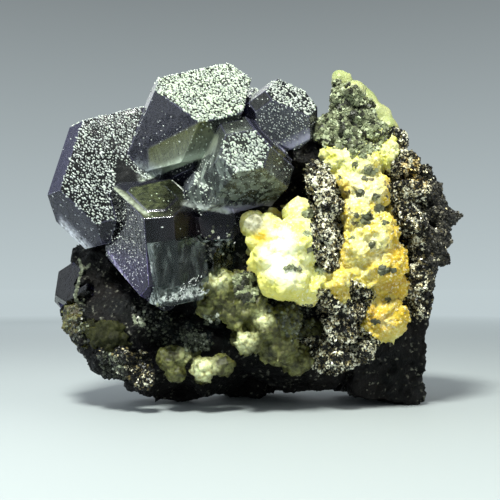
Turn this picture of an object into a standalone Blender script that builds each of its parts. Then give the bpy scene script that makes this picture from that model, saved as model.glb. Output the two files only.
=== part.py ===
"""A hand specimen of violet fluorite with pyrite and yellow calcite on a dark sulphide rock.

Sizes are in millimetres in the specimen's own frame: +X to its right as it is shown, -Y to its front, +Z up,
with the rock resting on z = 0. They are turned into metres when each piece is made.
"""
import math
import random

import bmesh
import bpy
from mathutils import Euler, Matrix, Vector, noise

MILLIMETRE = 0.001
GAP = 0.35  # left between two minerals that grew against each other
FLOOR = 0.0  # the height of the flats that the rock rests on
WELD = 0.001  # points nearer than this are one
KEPT_FACES = 0.42  # share of the calcite's triangles that is left once its slivers are taken out
ROCK_CORNERS = 28  # corners of each boulder in the rock
CORNER_REACH = (0.9, 1.05)  # how far out a boulder's corners lie, as a share of its half-widths
CORNER_LEFT = (0.75, 1.0)  # how much is left of the broken corners of a block
CRYSTAL_TRIM = 0.12  # how far the corners of a cube crystal are cut back, as a share of their reach
KNOB_CORNERS = (8, 6)  # corners of a knob: the first ones, and more for each millimetre of its radius
KNOB_LUMPS = 0.16  # how uneven a knob is, as a share of its radius
KNOB_WAVES = 1.6  # how closely the bumps of a knob follow each other
KNOB_SHIFT = Vector((3.1, 1.7, 2.3))  # how far the pattern of bumps moves from one knob to the next
GOLDEN_ANGLE = math.pi * (3 - math.sqrt(5))
CUTTER_ROOM = 400.0  # wider than anything that is cut


# Meshes, as a bmesh in millimetres


def convex_hull(points):
    mesh = bmesh.new()
    for point in points:
        mesh.verts.new(point)
    hull = bmesh.ops.convex_hull(mesh, input=mesh.verts)
    loose = [v for v in hull["geom_interior"] if isinstance(v, bmesh.types.BMVert)]
    bmesh.ops.delete(mesh, geom=loose, context="VERTS")
    bmesh.ops.recalc_face_normals(mesh, faces=mesh.faces)
    return mesh


def cut_by_planes(planes):
    """The body behind every plane, each given by its outward normal and its distance from the centre."""
    mesh = bmesh.new()
    bmesh.ops.create_cube(mesh, size=CUTTER_ROOM)
    for normal, distance in planes:
        everything = mesh.verts[:] + mesh.edges[:] + mesh.faces[:]
        cut = bmesh.ops.bisect_plane(
            mesh, geom=everything, dist=1e-5, plane_co=normal * distance, plane_no=normal, clear_outer=True
        )
        rim = [e for e in cut["geom_cut"] if isinstance(e, bmesh.types.BMEdge)]
        if rim:
            bmesh.ops.edgeloop_fill(mesh, edges=rim)
    bmesh.ops.recalc_face_normals(mesh, faces=mesh.faces)
    return mesh


def placed(mesh, at, turn=(0, 0, 0)):
    angles = [math.radians(a) for a in turn]
    mesh.transform(Matrix.Translation(at) @ Euler(angles, "XYZ").to_matrix().to_4x4())
    return mesh


def crystal(at, turn, octahedral, cubic, faces, grow=0.0):
    """A fluorite octahedron whose corners are cut off by cube faces. Faces is how far single faces lie
    from the centre, where the crystal grew out of shape: "+++" is the octahedral face towards +X +Y +Z
    of the crystal's own axes, and "+00" the cube face towards +X."""
    signs = (-1, 0, 1)
    planes = []
    for direction in ((x, y, z) for x in signs for y in signs for z in signs):
        axes = sum(map(abs, direction))
        if axes == 1 or axes == 3:
            name = "".join("-0+"[s + 1] for s in direction)
            distance = faces.get(name, octahedral if axes == 3 else cubic)
            planes.append((Vector(direction).normalized(), distance + grow))
    return placed(cut_by_planes(planes), at, turn)


def block(at, turn, size, trim=CRYSTAL_TRIM, grow=0.0):
    """A block with its corners cut back."""
    half = [s / 2 + grow for s in size]
    planes = []
    for axis in range(3):
        for sign in (-1, 1):
            normal = Vector([sign if a == axis else 0 for a in range(3)])
            planes.append((normal, half[axis]))
    corner = sum(half) / math.sqrt(3)
    for direction in ((x, y, z) for x in (-1, 1) for y in (-1, 1) for z in (-1, 1)):
        planes.append((Vector(direction).normalized(), corner * (1 - trim)))
    return placed(cut_by_planes(planes), at, turn)


def boulder(at, radii, seed, corners=ROCK_CORNERS, grow=0.0):
    """A broken lump of rock: flat facets between corners that lie on an ellipsoid."""
    pick = random.Random(seed)
    points = []
    for _ in range(corners):
        way = Vector([pick.gauss(0, 1) for _ in range(3)]).normalized()
        reach = pick.uniform(*CORNER_REACH)
        points.append(at + Vector([way[i] * (radii[i] * reach + grow) for i in range(3)]))
    return convex_hull(points)


def broken_block(at, size, turn, seed, grow=0.0):
    """A block whose eight corners broke off unevenly."""
    pick = random.Random(seed)
    points = []
    for x in (-1, 1):
        for y in (-1, 1):
            for z in (-1, 1):
                way = Vector([s * pick.uniform(*CORNER_LEFT) for s in (x, y, z)])
                points.append(Vector([way[i] * (size[i] / 2 + grow) for i in range(3)]))
    return placed(convex_hull(points), at, turn)


def knob(at, radius, seed, grow=0.0):
    """A rounded knob of calcite with an uneven skin, from points spread evenly along a spiral on a ball."""
    first, more = KNOB_CORNERS
    count = round(more * radius) + first
    shift = KNOB_SHIFT * seed
    points = []
    for number in range(count):
        height = 1 - 2 * (number + 0.5) / count
        around = number * GOLDEN_ANGLE + seed
        level = math.sqrt(1 - height * height)
        way = Vector((level * math.cos(around), level * math.sin(around), height))
        bump = 1 + KNOB_LUMPS * noise.noise(way * KNOB_WAVES + shift)
        points.append(at + way * (radius * bump + grow))
    return convex_hull(points)


# Solids, as a mesh datablock in metres


def to_object(mesh, name="shape"):
    data = bpy.data.meshes.new(name)
    mesh.to_mesh(data)
    data.transform(Matrix.Scale(MILLIMETRE, 4))
    made = bpy.data.objects.new(name, data)
    bpy.context.scene.collection.objects.link(made)
    return made


def remove(objects):
    for obj in objects:
        bpy.data.objects.remove(obj)


def combined(first, others, operation):
    """The first object joined with, or cut by, all the others, which are used up."""
    if not others:
        return first
    helpers = bpy.data.collections.new("helpers")
    bpy.context.scene.collection.children.link(helpers)
    for obj in others:
        bpy.context.scene.collection.objects.unlink(obj)
        helpers.objects.link(obj)
    change = first.modifiers.new(operation.lower(), "BOOLEAN")
    change.operation = operation
    change.operand_type = "COLLECTION"
    change.collection = helpers
    change.solver = "EXACT"
    change.use_self = True
    bpy.context.view_layer.update()
    evaluated = first.evaluated_get(bpy.context.evaluated_depsgraph_get())
    result = bpy.data.meshes.new_from_object(evaluated)
    first.modifiers.clear()
    first.data = result
    remove(others)
    bpy.data.collections.remove(helpers)
    return first


def union(meshes):
    objects = [to_object(mesh) for mesh in meshes]
    return combined(objects[0], objects[1:], "UNION")


def islands(mesh):
    """Groups of faces that hang together."""
    left, found = set(mesh.faces), []
    while left:
        group, edge_of_group = set(), [left.pop()]
        while edge_of_group:
            face = edge_of_group.pop()
            group.add(face)
            for edge in face.edges:
                for other in edge.link_faces:
                    if other in left:
                        left.remove(other)
                        edge_of_group.append(other)
        found.append(group)
    return found


def thinned(obj, kept):
    """The object with the slivers between its joined shapes taken out, down to this share of its triangles."""
    change = obj.modifiers.new("thin out", "DECIMATE")
    change.ratio = kept
    change.use_collapse_triangulate = True
    bpy.context.view_layer.update()
    evaluated = obj.evaluated_get(bpy.context.evaluated_depsgraph_get())
    result = bpy.data.meshes.new_from_object(evaluated)
    obj.modifiers.clear()
    obj.data = result
    return obj


def keep_main_body(obj):
    """Drops the crumbs that a cut leaves beside the main body, and welds what nearly touches."""
    mesh = bmesh.new()
    mesh.from_mesh(obj.data)
    bmesh.ops.remove_doubles(mesh, verts=mesh.verts, dist=WELD * MILLIMETRE)
    bmesh.ops.triangulate(mesh, faces=mesh.faces, quad_method="FIXED", ngon_method="EAR_CLIP")
    groups = sorted(islands(mesh), key=len)
    for group in groups[:-1]:
        bmesh.ops.delete(mesh, geom=list(group), context="FACES")
    bmesh.ops.delete(mesh, geom=[v for v in mesh.verts if not v.link_faces], context="VERTS")
    mesh.to_mesh(obj.data)
    mesh.free()


def grown_copy(maker):
    """What a piece takes up with the gap round it, kept aside as a cutter for the later pieces."""
    cutter = union(maker(GAP))
    cutter.hide_render = True
    cutter.display_type = "WIRE"
    return cutter


def corners_of(obj):
    points = [Vector(corner) for corner in obj.bound_box]
    return [Vector(map(side, zip(*points))) for side in (min, max)]


def near_copies(cutters, obj):
    """Copies of the cutters whose boxes meet the object's box."""
    low, high = corners_of(obj)
    copies = []
    for cutter in cutters:
        lowest, highest = corners_of(cutter)
        if all(lowest[i] < high[i] and highest[i] > low[i] for i in range(3)):
            copy = cutter.copy()
            copy.data = cutter.data.copy()
            bpy.context.scene.collection.objects.link(copy)
            copies.append(copy)
    return copies


def finish(obj, name, material):
    keep_main_body(obj)
    obj.name = name
    obj.data.name = name
    obj.data.materials.clear()
    obj.data.materials.append(material)
    return obj


def make_material(name, colour, roughness, metallic, transmission):
    made = bpy.data.materials.new(name)
    made.use_nodes = True
    shader = made.node_tree.nodes["Principled BSDF"]
    shader.inputs["Base Color"].default_value = (*colour, 1.0)
    shader.inputs["Roughness"].default_value = roughness
    shader.inputs["Metallic"].default_value = metallic
    shader.inputs["Transmission Weight"].default_value = transmission
    return made


# The dark sulphide rock that everything grew on: boulders fused at their faces, with broken ledges

ROCK_BOULDERS = {  # centre, half-widths
    "core": ((0.0, 6.0, 26.0), (23.0, 15.0, 19.5)),
    "right shoulder": ((25.6, 8.0, 31.0), (10.2, 12.0, 16.5)),
    "right top": ((17.5, 7.0, 45.5), (8.0, 9.0, 7.5)),
    "waist": ((19.0, 9.0, 19.5), (11.5, 10.5, 9.5)),
    "saddle": ((9.5, 0.5, 41.0), (6.5, 8.0, 6.0)),
    "left top": ((-14.0, 9.0, 34.0), (14.0, 11.0, 12.0)),
    "left shoulder": ((-26.0, 7.0, 22.5), (7.0, 9.5, 8.5)),
    "lower left": ((-21.5, 3.0, 13.0), (10.5, 12.0, 11.0)),
    "lower middle": ((-8.0, 4.0, 9.5), (13.0, 12.0, 9.0)),
    "belly": ((9.5, 4.5, 10.0), (13.5, 11.5, 9.0)),
    "back": ((2.0, 14.0, 27.0), (21.0, 10.5, 18.0)),
    "left foot": ((-16.0, 6.0, 7.5), (9.0, 8.5, 9.0)),
    "right foot": ((22.5, 8.0, 10.0), (7.8, 12.5, 12.0)),
    "back foot": ((1.0, 14.0, 9.0), (12.0, 8.5, 11.0)),
}
RIGHT_BLOCK = ((22.4, 7.5, 11.0), (15.0, 18.0, 24.0), (0.0, 6.0, 12.0))  # its centre, size and turn
LEDGES = 36  # ledges in all, of which those that the other minerals cover are passed over
LEDGE_SIZE = (5.5, 10.0)  # smallest and largest length of a ledge
LEDGE_DEPTH = (0.6, 0.9)  # its depth as a share of its length
LEDGE_HEIGHT = (0.35, 0.6)  # its height as a share of its length
LEDGE_CORNERS = 11
LEDGE_SINK = 0.84  # how far out on its boulder a ledge sits, as a share of the boulder's half-width
LEDGE_LEVEL = 0.8  # below 1, the ledges crowd round the sides of a boulder rather than its top
LEDGE_TILT = 12  # how far each ledge may lean from the shared turn, in degrees
BEDDING = (14.0, -8.0, 25.0)  # the turn that all the ledges share, because the rock splits along it
COVERED_FRONT = -2.0  # further forward than this the other minerals cover the rock...
COVERED_FROM = 20.0  # ...above this height, and everywhere right of the middle
FLOOR_BLOCK = (200, 200, 40)  # what is cut off under the rock


def rock_meshes(grow=0.0):
    pieces = []
    for number, (at, radii) in enumerate(ROCK_BOULDERS.values()):
        pieces.append(boulder(Vector(at), radii, seed=number + 1, grow=grow))
    at, size, turn = RIGHT_BLOCK
    pieces.append(broken_block(at, size, turn, seed=3, grow=grow))
    pick = random.Random(11)
    for number in range(LEDGES):
        at, radii = pick.choice(list(ROCK_BOULDERS.values()))
        way = Vector([pick.gauss(0, 1), pick.gauss(0, 1), pick.gauss(0, LEDGE_LEVEL)]).normalized()
        spot = Vector(at) + Vector([way[i] * radii[i] * LEDGE_SINK for i in range(3)])
        length = pick.uniform(*LEDGE_SIZE)
        if spot.y < COVERED_FRONT and (spot.z > COVERED_FROM or spot.x > 0):
            continue
        size = (length, length * pick.uniform(*LEDGE_DEPTH), length * pick.uniform(*LEDGE_HEIGHT))
        turn = [angle + pick.uniform(-LEDGE_TILT, LEDGE_TILT) for angle in BEDDING]
        chip = boulder(Vector(), [side / 2 for side in size], 100 + number, LEDGE_CORNERS, grow)
        pieces.append(placed(chip, spot, turn))
    return pieces


def below_floor():
    return to_object(block((0, 0, FLOOR - FLOOR_BLOCK[2] / 2), (0, 0, 0), FLOOR_BLOCK, trim=0.0))


def build_rock():
    return combined(union(rock_meshes()), [below_floor()], "DIFFERENCE")


# The fluorite crystals

CLUSTER = {  # centre, turn in degrees, distance of the octahedral faces, of the cube faces, and of single faces
    "left": (
        (-22.3, 2.0, 38.6), (-40, -20, -144), 9.5, 11.0,
        {"+++": 7.7, "++-": 11.9, "+--": 8.8, "-+-": 9.7, "+-+": 11.2, "+00": 10.9, "0+0": 12.0, "00+": 12.3},
    ),
    "front left": (
        (-15.1, -6.0, 27.8), (-96, -41, -175), 8.0, 9.0,
        {"+++": 6.1, "++-": 8.7, "-++": 10.6, "+-+": 8.3, "+00": 11.0, "0+0": 7.8, "---": 6.0},
    ),
    "top": (
        (-8.7, -4.0, 48.2), (7, 14, -122), 9.0, 10.0,
        {"+++": 7.4, "++-": 8.6, "+-+": 8.7, "+--": 12.7, "+00": 8.1, "-++": 9.8, "-+-": 5.0, "0+0": 11.7,
         "00+": 7.7, "00-": 6.4},
    ),
    "top right": (
        (5.0, -5.0, 48.3), (-8, -15, -106), 5.5, 6.5,
        {"+++": 4.5, "++-": 5.0, "+--": 6.9, "+00": 7.6, "0+0": 5.7, "00+": 5.7, "00-": 5.4},
    ),
    "middle": (
        (-0.3, -9.0, 39.2), (-11, 28, -129), 7.0, 8.0,
        {"+++": 8.4, "++-": 4.9, "+--": 8.6, "-+-": 6.0, "-++": 5.6, "+-+": 7.2, "0+0": 6.7, "00-": 7.8},
    ),
    "hollow": ((-15.5, -1.5, 34.0), (20, -30, 40), 3.8, 3.9, {}),
    "below middle": ((-7.0, -10.0, 35.2), (-25, 12, -60), 3.2, 3.6, {}),
    "dark left": ((-13.5, -7.5, 29.0), (35, 20, 15), 4.2, 4.6, {}),
    "dark right": ((-6.0, -6.5, 30.0), (-15, 40, 60), 4.4, 4.8, {}),
    "inner": ((-7.5, 0.5, 40.5), (30, 10, 50), 6.5, 7.0, {}),
    "behind": ((-1.0, 5.0, 45.5), (15, -25, 30), 8.0, 9.0, {}),
}
CLEAR_BLOCKS = {  # centre, turn in degrees, edge lengths
    "front": ((-11.8, -12.2, 23.0), (6, -10, 24), (8.4, 7.0, 9.8)),
    "beside": ((-6.4, -9.8, 25.0), (24, 16, -30), (5.6, 6.0, 6.4)),
}
SIDE_CRYSTAL = ((-28.6, 2.5, 19.6), (28, 8, 12), 4.6, 5.0, {"+++": 4.3})
STEPPED_FROM = 5.0  # crystals at least this large carry growth steps
STEPS = 2  # smaller copies in a crystal's own attitude, which leave low steps on its faces
STEP_SHARE = (0.62, 0.8)  # their size as a share of the crystal's
STEP_RISE = 0.3  # how far a growth step stands out of the face that carries it


def cluster_meshes(grow=0.0):
    pieces = []
    pick = random.Random(5)
    for at, turn, octahedral, cubic, faces in CLUSTER.values():
        pieces.append(crystal(at, turn, octahedral, cubic, faces, grow))
        if octahedral < STEPPED_FROM:
            continue
        for _ in range(STEPS):
            shrink = pick.uniform(*STEP_SHARE)
            small = {name: distance * shrink for name, distance in faces.items()}
            way = Vector([pick.choice((-1, 1)) for _ in range(3)]).normalized()
            spin = Euler([math.radians(a) for a in turn], "XYZ").to_matrix()
            shift = spin @ way * (octahedral * (1 - shrink) + STEP_RISE)
            pieces.append(
                crystal(Vector(at) + shift, turn, octahedral * shrink, cubic * shrink, small, grow)
            )
    return pieces


def clear_meshes(grow=0.0):
    return [block(at, turn, size, grow=grow) for at, turn, size in CLEAR_BLOCKS.values()]


def side_meshes(grow=0.0):
    at, turn, octahedral, cubic, faces = SIDE_CRYSTAL
    return [crystal(at, turn, octahedral, cubic, faces, grow)]


# The pyrite: granular ridges, each a string of small boulders with coarse grains on them

PYRITE = {  # node: (centre, radius) of each boulder in it
    "pyrite_top_patch": [
        ((15.1, -3.5, 50.5), 3.6), ((13.8, -4.5, 46.5), 4.0), ((18.1, -3.5, 48.0), 3.8),
        ((17.8, -5.0, 44.0), 3.6), ((21.3, -3.5, 45.8), 2.6),
    ],
    "pyrite_inner_ridge": [
        ((10.6, -9.0, 38.7), 2.3), ((11.3, -10.5, 36.3), 2.7), ((12.5, -11.0, 33.1), 2.8),
        ((12.1, -11.5, 29.4), 2.8), ((11.8, -11.5, 26.0), 2.6), ((11.9, -11.5, 23.7), 2.0),
    ],
    "pyrite_outer_ridge": [
        ((24.8, -2.5, 44.3), 2.8), ((25.4, -4.0, 40.5), 3.2), ((25.8, -5.0, 36.2), 3.6),
        ((27.0, -5.0, 32.2), 4.0), ((29.3, 0.0, 37.0), 3.8), ((31.2, 1.0, 32.2), 4.4),
        ((29.8, -3.0, 27.3), 4.4), ((28.6, -3.5, 22.2), 4.0), ((27.6, -2.5, 18.1), 3.2),
        ((31.8, 2.0, 26.6), 3.6), ((26.8, -0.5, 14.6), 2.8),
    ],
    "pyrite_lower_ridge": [
        ((12.7, -9.0, 18.2), 2.7), ((16.3, -8.0, 16.6), 2.7), ((14.1, -8.0, 14.2), 3.2),
        ((15.4, -6.0, 10.0), 3.6), ((18.8, -5.0, 10.0), 2.8), ((12.3, -5.5, 9.1), 3.2),
        ((17.0, -8.5, 19.8), 2.0),
    ],
    "pyrite_left_patch": [((-20.5, -8.6, 8.0), 2.4), ((-17.5, -8.8, 6.4), 2.4), ((-22.4, -8.0, 9.8), 1.8)],
}
PYRITE_CORNERS = 13  # corners of each boulder
PYRITE_SHAPE = Vector((1.0, 0.95, 1.05))  # its half-widths as shares of its radius
GRAIN_SIZE = (2.2, 3.2)  # smallest and largest edge of the coarse grain on each boulder
GRAIN_SINK = 0.35  # how deep a grain sits in its boulder, as a share of its edge
GRAIN_SIDE = ((0, 1), (-0.6, 0.8), (0.1, 1))  # where the grains sit along each axis: mostly towards the front


def pyrite_meshes(node, grow=0.0):
    pieces = []
    pick = random.Random(node)
    for number, (at, radius) in enumerate(PYRITE[node]):
        at = Vector(at)
        pieces.append(boulder(at, PYRITE_SHAPE * radius, number + 31, PYRITE_CORNERS, grow))
        way = Vector([pick.gauss(middle, width) for middle, width in GRAIN_SIDE]).normalized()
        edge = pick.uniform(*GRAIN_SIZE)
        turn = [pick.uniform(0, 90) for _ in range(3)]
        spot = at + way * (radius - GRAIN_SINK * edge)
        pieces.append(broken_block(spot, (edge, edge, edge), turn, pick.random(), grow))
    return pieces


# The calcite: knobs that ran together into crusts

CALCITE = {  # node: (centre, radius) of each knob in it
    "calcite_vein": [
        ((2.8, -11.5, 28.2), 3.6), ((7.0, -12.0, 26.8), 4.4), ((5.1, -13.0, 22.1), 4.3),
        ((9.0, -11.5, 20.6), 3.4), ((10.7, -10.5, 27.7), 2.8), ((0.6, -10.0, 30.2), 2.3),
        ((3.1, -12.5, 24.6), 3.2), ((7.9, -9.5, 31.7), 3.0),
        ((13.9, -6.5, 41.0), 2.8), ((18.2, -6.5, 40.1), 3.7), ((22.3, -4.5, 42.0), 2.9),
        ((16.1, -7.5, 37.2), 2.8), ((19.3, -7.5, 35.6), 3.8), ((17.9, -8.5, 31.8), 3.8),
        ((20.0, -8.5, 28.6), 4.4), ((16.6, -9.5, 26.1), 3.3), ((21.5, -8.0, 24.2), 4.3),
        ((17.4, -9.0, 22.2), 3.0), ((14.1, -10.5, 20.9), 2.7), ((14.4, -10.6, 18.8), 1.7),
        ((23.4, -6.5, 20.6), 2.9), ((21.5, -6.0, 15.2), 4.4), ((20.2, -7.0, 18.4), 2.4),
    ],
    "calcite_cap": [
        ((15.7, 0.5, 55.8), 1.7), ((17.7, 1.0, 54.4), 2.0), ((20.1, 1.0, 52.0), 2.3),
        ((22.1, 0.5, 49.6), 2.4), ((23.6, -0.5, 47.0), 2.3),
    ],
    "calcite_lower_knobs": [
        ((-4.7, -10.0, 19.8), 3.3), ((-6.2, -9.0, 17.4), 2.7), ((-1.6, -10.0, 20.6), 2.7),
        ((0.0, -11.0, 17.5), 3.0), ((-2.4, -10.0, 16.3), 3.0), ((2.4, -10.0, 14.3), 3.0),
        ((0.0, -11.0, 11.7), 2.3), ((4.5, -8.0, 11.0), 3.8), ((7.8, -6.0, 8.3), 2.8),
        ((5.6, -8.5, 15.0), 3.1),
    ],
    "calcite_left_patch": [
        ((-22.9, -7.0, 12.2), 3.2), ((-26.0, -5.5, 13.0), 2.4), ((-20.6, -7.6, 11.8), 2.2),
    ],
    "calcite_edge_patch": [((-29.0, -3.0, 13.9), 2.6), ((-30.0, -1.5, 16.2), 2.0), ((-27.6, -4.4, 12.0), 2.0)],
    "calcite_spur": [((-12.8, -8.6, 8.9), 2.4), ((-11.8, -8.6, 6.7), 1.9), ((-11.0, -9.0, 9.6), 1.7)],
    "calcite_nub": [((-7.4, -9.2, 7.2), 2.4), ((-4.5, -8.6, 7.8), 2.1)],
}


def calcite_meshes(node, grow=0.0):
    seeds = random.Random(node)
    return [knob(Vector(at), radius, seeds.randint(1, 99), grow) for at, radius in CALCITE[node]]


def centre_on_origin():
    """Moves every piece so that the specimen's box stands centred on the origin."""
    pieces = list(bpy.context.scene.collection.objects)
    lows, highs = zip(*map(corners_of, pieces))
    low, high = [Vector(map(side, zip(*found))) for side, found in ((min, lows), (max, highs))]
    for obj in pieces:
        obj.location = -Vector(((low.x + high.x) / 2, (low.y + high.y) / 2, low.z))


YELLOW_CALCITE = ("calcite_vein", "calcite_cap")
FINISHES = {  # colour, roughness, metallic share, see-through share
    "sulphide rock": ((0.035, 0.036, 0.035), 0.55, 0.3, 0.0),
    "violet fluorite": ((0.16, 0.15, 0.25), 0.2, 0.0, 0.7),
    "clear fluorite": ((0.30, 0.34, 0.34), 0.08, 0.0, 0.9),
    "indigo fluorite": ((0.05, 0.05, 0.11), 0.2, 0.0, 0.5),
    "pyrite": ((0.32, 0.29, 0.20), 0.35, 0.9, 0.0),
    "grey pyrite": ((0.24, 0.25, 0.22), 0.5, 0.3, 0.0),
    "yellow calcite": ((0.85, 0.68, 0.22), 0.4, 0.0, 0.0),
    "olive calcite": ((0.55, 0.55, 0.28), 0.4, 0.0, 0.0),
}


def main():
    remove(list(bpy.data.objects))
    finishes = {name: make_material(name, *values) for name, values in FINISHES.items()}

    # A piece is cut back to a gap wherever it grew against one that is listed before it.
    cutters = [grown_copy(rock_meshes)]
    finish(build_rock(), "sulphide_rock", finishes["sulphide rock"])
    pieces = [
        ("fluorite_cluster", cluster_meshes, finishes["violet fluorite"]),
        ("fluorite_clear_crystals", clear_meshes, finishes["clear fluorite"]),
        ("fluorite_side_crystal", side_meshes, finishes["indigo fluorite"]),
    ]
    for node in PYRITE:
        colour = finishes["grey pyrite" if node == "pyrite_top_patch" else "pyrite"]
        pieces.append((node, lambda grow=0.0, node=node: pyrite_meshes(node, grow), colour))
    for node in CALCITE:
        colour = finishes["yellow calcite" if node in YELLOW_CALCITE else "olive calcite"]
        pieces.append((node, lambda grow=0.0, node=node: calcite_meshes(node, grow), colour))
    for name, maker, material in pieces:
        raw = union(maker())
        if name.startswith("calcite"):
            raw = thinned(raw, KEPT_FACES)
        finish(combined(raw, near_copies(cutters, raw), "DIFFERENCE"), name, material)
        cutters.append(grown_copy(maker))
    remove(cutters)
    centre_on_origin()


main()
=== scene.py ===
import math

import bmesh
import bpy
import numpy as np
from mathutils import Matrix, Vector, noise
from mathutils.bvhtree import BVHTree


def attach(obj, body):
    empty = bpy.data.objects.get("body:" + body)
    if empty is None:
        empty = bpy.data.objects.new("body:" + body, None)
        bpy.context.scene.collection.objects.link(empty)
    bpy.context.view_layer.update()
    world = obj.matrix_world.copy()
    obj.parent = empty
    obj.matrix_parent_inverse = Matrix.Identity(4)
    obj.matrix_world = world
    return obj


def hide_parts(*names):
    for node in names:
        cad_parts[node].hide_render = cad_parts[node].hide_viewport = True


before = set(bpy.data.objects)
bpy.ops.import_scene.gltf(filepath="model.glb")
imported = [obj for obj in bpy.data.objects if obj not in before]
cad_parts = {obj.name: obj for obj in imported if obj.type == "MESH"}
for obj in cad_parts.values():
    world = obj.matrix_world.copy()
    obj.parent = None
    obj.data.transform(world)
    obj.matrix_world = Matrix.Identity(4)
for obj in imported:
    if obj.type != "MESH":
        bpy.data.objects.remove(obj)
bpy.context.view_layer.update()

# ---------------------------------------------------------------------------------------------- eye
# The specimen is looked at from straight in front, about 150 mm away and a little below its middle.
# Mesh work is done in millimetres, and becomes metres when a piece is made.
MILLIMETRE = 0.001
EYE = Vector((-2.24, -148.31, 20.9))
# The width of the picture, and how far behind the eye's middle it would stand, both in pixels.
PICTURE = 500
EYE_REACH = 847
EYE_TILT = math.atan(33 / EYE_REACH)
SENSOR = 36

camera = bpy.data.objects.new("eye", bpy.data.cameras.new("eye"))
camera.location = EYE * MILLIMETRE
camera.rotation_euler = (math.radians(90) + EYE_TILT, 0, 0)
camera.data.sensor_width = SENSOR
camera.data.lens = SENSOR * EYE_REACH / PICTURE
camera.data.clip_start = 0.01
bpy.context.scene.collection.objects.link(camera)
bpy.context.scene.camera = camera

# -------------------------------------------------------------------------------------- matrix rock
# The lump that carries everything: massive dark sulphide, broken rather than worn, so its skin is a
# mass of small tilted facets with a faint metallic glitter, browner on its right flank.
ROCK_VOXEL = 0.46
# The size and depth of each kind of facet, and of the grit on them.
ROCK_FACETS = ((3.4, 0.9), (1.5, 0.6), (0.8, 0.3))
ROCK_GRIT = (0.5, 0.14)
# Soft patches of slate grey: the middle of each, its inner and outer reach, and its strength.
SLATE = (((-5.0, -13.0, 25.0), 4.0, 8.0, 1.0), ((-11.0, -8.0, 15.0), 3.0, 8.0, 1.0))
rng = np.random.default_rng(11)


def linked(name, mesh, smooth=False):
    """A piece with this mesh, linked into the scene."""
    mesh.polygons.foreach_set("use_smooth", [smooth] * len(mesh.polygons))
    piece = bpy.data.objects.new(name, mesh)
    bpy.context.scene.collection.objects.link(piece)
    return piece


def new_piece(name, vertices, faces, smooth=False):
    """A piece from corners in millimetres."""
    mesh = bpy.data.meshes.new(name)
    mesh.from_pydata((np.asarray(vertices, float) * MILLIMETRE).tolist(), [], faces)
    return linked(name, mesh, smooth)


def welded(*nodes):
    """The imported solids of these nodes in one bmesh, in millimetres, with their seams closed."""
    solids = bmesh.new()
    for node in nodes:
        solids.from_mesh(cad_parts[node].data)
    bmesh.ops.remove_doubles(solids, verts=solids.verts, dist=0.00001)
    bmesh.ops.scale(solids, vec=(1 / MILLIMETRE,) * 3, verts=solids.verts)
    return solids


def skin(name, nodes, voxel, rounding=2, lumps=()):
    """One evenly meshed skin over the solids of these nodes and any lumps on them, with blunt edges."""
    solids = welded(*nodes)
    vertices = [v.co[:] for v in solids.verts]
    faces = [[v.index for v in f.verts] for f in solids.faces]
    solids.free()
    for corners, sides in lumps:
        faces += (np.array(sides) + len(vertices)).tolist()
        vertices += corners.tolist()
    rough = new_piece(name, vertices, faces)
    even = rough.modifiers.new("even", "REMESH")
    even.mode = "VOXEL"
    even.voxel_size = voxel * MILLIMETRE
    if rounding:
        worn = rough.modifiers.new("worn", "SMOOTH")
        worn.factor = 0.5
        worn.iterations = rounding
    made = bpy.data.meshes.new_from_object(rough.evaluated_get(bpy.context.evaluated_depsgraph_get()))
    rough.modifiers.clear()
    rough.data = made
    made.polygons.foreach_set("use_smooth", [True] * len(made.polygons))
    return rough


def places_of(mesh):
    """The points of a mesh as an array, in millimetres."""
    places = np.empty(len(mesh.vertices) * 3, np.float32)
    mesh.vertices.foreach_get("co", places)
    return places.reshape(-1, 3).astype(float) / MILLIMETRE


def raised(piece, height):
    """Pushes each point of a piece out along its normal by height(point), but never below the floor."""
    mesh = piece.data
    places = places_of(mesh)
    normals = np.empty(len(mesh.vertices) * 3, np.float32)
    mesh.vertex_normals.foreach_get("vector", normals)
    heights = np.array([height(Vector(p)) for p in places])
    places = places + normals.reshape(-1, 3) * heights[:, None]
    places[:, 2] = np.maximum(places[:, 2], 0.0)
    mesh.vertices.foreach_set("co", (places * MILLIMETRE).astype(np.float32).ravel())
    mesh.update()


def facet(place, size):
    """The height of a broken surface made of flat grains of this size, each tilted its own way."""
    spot = place / size
    centre = noise.voronoi(spot)[1][0]
    tilt = noise.cell_vector(centre * 7.31) - Vector((0.5, 0.5, 0.5))
    return (spot - centre).dot(tilt) + 0.35 * (noise.cell(centre * 3.17) - 0.5)


def rock_height(place):
    height = sum(depth * facet(place, size) for size, depth in ROCK_FACETS)
    return height + ROCK_GRIT[1] * noise.noise(place / ROCK_GRIT[0])


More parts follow.
